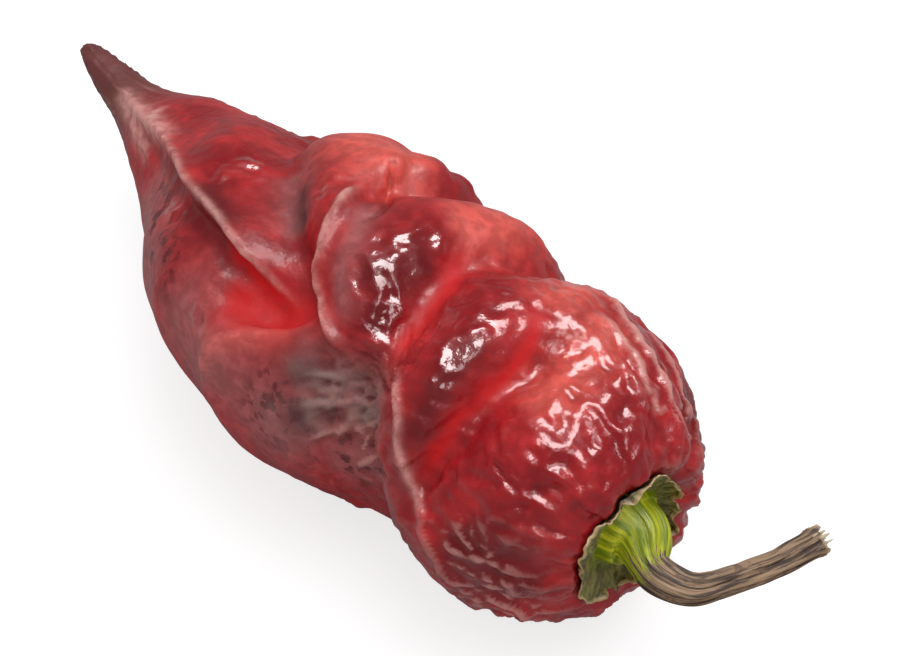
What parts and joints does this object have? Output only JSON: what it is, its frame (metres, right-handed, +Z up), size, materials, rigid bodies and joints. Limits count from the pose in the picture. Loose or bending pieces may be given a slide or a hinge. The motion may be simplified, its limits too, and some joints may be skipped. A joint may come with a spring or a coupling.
{
  "type": "chilli pepper",
  "caption": "Ripe superhot chilli pepper lying on its side, with a lumpy folded pod, a pointed tail, a frilled green calyx and a short bent stem.",
  "frame": {"origin": "middle of the pepper's footprint, on the surface it lies on", "axes": "+X along the pod from the tail to the stem, +Y to the side that the stem's broken end points to, +Z up"},
  "size_m": [0.0834, 0.0288, 0.028],
  "materials": {
    "pod_skin": "glossy, waxy, finely wrinkled skin",
    "stem_bark": "dull and fibrous, green at the foot",
    "calyx_green": "satin, with a dry edge"
  },
  "bodies": {
    "root": {"pod": "pod_skin", "stem": "stem_bark", "calyx": "calyx_green"}
  },
  "joints": []
}
